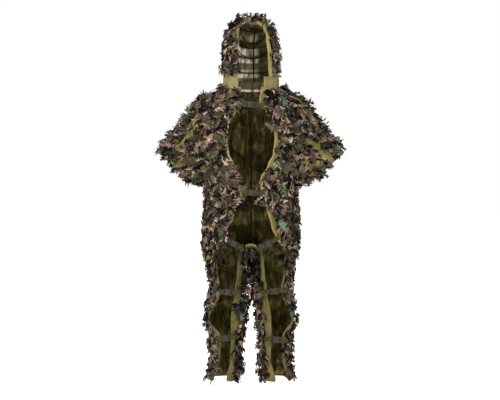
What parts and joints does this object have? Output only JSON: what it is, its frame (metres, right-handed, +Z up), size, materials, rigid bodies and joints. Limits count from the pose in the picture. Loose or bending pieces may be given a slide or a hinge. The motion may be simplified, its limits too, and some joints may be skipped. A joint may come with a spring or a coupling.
{
  "type": "ghillie suit",
  "caption": "Leafy camouflage over-suit of net fabric with a hood, short flared sleeves and leg gutters, open at the front and closed by straps with side-release buckles.",
  "frame": {"origin": "between the shoulders, on the line where the suit rests on the wearer's shoulders", "axes": "+Z up along the body, -Y out of the open front, +X towards the wearer's left"},
  "size_m": [0.895, 0.3036, 1.7444],
  "materials": {
    "net_fabric": "matte",
    "lining_tape": "matte",
    "hem_fabric": "matte",
    "leaf_fabric": "matte",
    "strap_webbing": "matte",
    "buckle_plastic": "satin"
  },
  "bodies": {
    "torso": {"collar_band": "hem_fabric", "back_panel": "net_fabric", "back_seam_tape": "lining_tape", "back_leaf_cover": "leaf_fabric", "crotch_gusset": "net_fabric", "left_front_panel": "net_fabric", "left_front_hem": "hem_fabric", "left_front_leaf_cover": "leaf_fabric", "right_front_panel": "net_fabric", "right_front_hem": "hem_fabric", "right_front_leaf_cover": "leaf_fabric", "neck_socket": "buckle_plastic", "neck_socket_webbing": "strap_webbing", "waist_socket": "buckle_plastic", "waist_socket_webbing": "strap_webbing", "left_thigh_socket": "buckle_plastic", "left_thigh_socket_webbing": "strap_webbing", "right_thigh_socket": "buckle_plastic", "right_thigh_socket_webbing": "strap_webbing"},
    "hood": {"hood_left_panel": "net_fabric", "hood_right_panel": "net_fabric", "hood_hem": "hem_fabric", "hood_leaf_cover": "leaf_fabric", "hood_row_tape": "lining_tape"},
    "left_sleeve": {"left_sleeve": "net_fabric", "left_sleeve_hem": "hem_fabric", "left_sleeve_leaf_cover": "leaf_fabric"},
    "right_sleeve": {"right_sleeve": "net_fabric", "right_sleeve_hem": "hem_fabric", "right_sleeve_leaf_cover": "leaf_fabric"},
    "left_leg": {"left_leg": "net_fabric", "left_leg_hem": "hem_fabric", "left_leg_leaf_cover": "leaf_fabric", "left_knee_socket": "buckle_plastic", "left_knee_socket_webbing": "strap_webbing", "left_calf_socket": "buckle_plastic", "left_calf_socket_webbing": "strap_webbing"},
    "right_leg": {"right_leg": "net_fabric", "right_leg_hem": "hem_fabric", "right_leg_leaf_cover": "leaf_fabric", "right_knee_socket": "buckle_plastic", "right_knee_socket_webbing": "strap_webbing", "right_calf_socket": "buckle_plastic", "right_calf_socket_webbing": "strap_webbing"},
    "neck_clip": {"neck_clip": "buckle_plastic", "neck_clip_webbing": "strap_webbing"},
    "waist_clip": {"waist_clip": "buckle_plastic", "waist_clip_webbing": "strap_webbing"},
    "left_thigh_clip": {"left_thigh_clip": "buckle_plastic", "left_thigh_clip_webbing": "strap_webbing"},
    "right_thigh_clip": {"right_thigh_clip": "buckle_plastic", "right_thigh_clip_webbing": "strap_webbing"},
    "left_knee_clip": {"left_knee_clip": "buckle_plastic", "left_knee_clip_webbing": "strap_webbing"},
    "right_knee_clip": {"right_knee_clip": "buckle_plastic", "right_knee_clip_webbing": "strap_webbing"},
    "left_calf_clip": {"left_calf_clip": "buckle_plastic", "left_calf_clip_webbing": "strap_webbing"},
    "right_calf_clip": {"right_calf_clip": "buckle_plastic", "right_calf_clip_webbing": "strap_webbing"}
  },
  "joints": [
    {"name": "hood_tilt", "type": "hinge", "parent": "torso", "child": "hood", "pos_m": [0, 0.138, 0.1], "axis": [-1, 0, 0], "range_deg": [0, 35]},
    {"name": "left_sleeve_lift", "type": "hinge", "parent": "torso", "child": "left_sleeve", "pos_m": [0.182, 0, 0.02], "axis": [0, -1, 0], "range_deg": [0, 35]},
    {"name": "right_sleeve_lift", "type": "hinge", "parent": "torso", "child": "right_sleeve", "pos_m": [-0.182, 0, 0.02], "axis": [0, 1, 0], "range_deg": [0, 35]},
    {"name": "left_leg_swing", "type": "hinge", "parent": "torso", "child": "left_leg", "pos_m": [0.113, 0.032, -0.69], "axis": [-1, 0, 0], "range_deg": [-10, 20]},
    {"name": "right_leg_swing", "type": "hinge", "parent": "torso", "child": "right_leg", "pos_m": [-0.113, 0.032, -0.69], "axis": [-1, 0, 0], "range_deg": [-10, 20]},
    {"name": "neck_buckle_slide", "type": "slide", "parent": "torso", "child": "neck_clip", "axis": [0.9979, 0, -0.0644], "range_m": [0, 0.024]},
    {"name": "waist_buckle_slide", "type": "slide", "parent": "torso", "child": "waist_clip", "axis": [0.9977, 0, -0.0676], "range_m": [0, 0.024]},
    {"name": "left_thigh_buckle_slide", "type": "slide", "parent": "torso", "child": "left_thigh_clip", "axis": [-0.8334, 0.2725, -0.4808], "range_m": [0, 0.024]},
    {"name": "right_thigh_buckle_slide", "type": "slide", "parent": "torso", "child": "right_thigh_clip", "axis": [0.8334, 0.2725, -0.4808], "range_m": [0, 0.024]},
    {"name": "left_knee_buckle_slide", "type": "slide", "parent": "left_leg", "child": "left_knee_clip", "axis": [-0.9979, 0, -0.065], "range_m": [0, 0.024]},
    {"name": "right_knee_buckle_slide", "type": "slide", "parent": "right_leg", "child": "right_knee_clip", "axis": [0.9967, 0, -0.0813], "range_m": [0, 0.024]},
    {"name": "left_calf_buckle_slide", "type": "slide", "parent": "left_leg", "child": "left_calf_clip", "axis": [-0.9939, 0, 0.1104], "range_m": [0, 0.024]},
    {"name": "right_calf_buckle_slide", "type": "slide", "parent": "right_leg", "child": "right_calf_clip", "axis": [0.9957, 0, 0.0922], "range_m": [0, 0.024]}
  ]
}
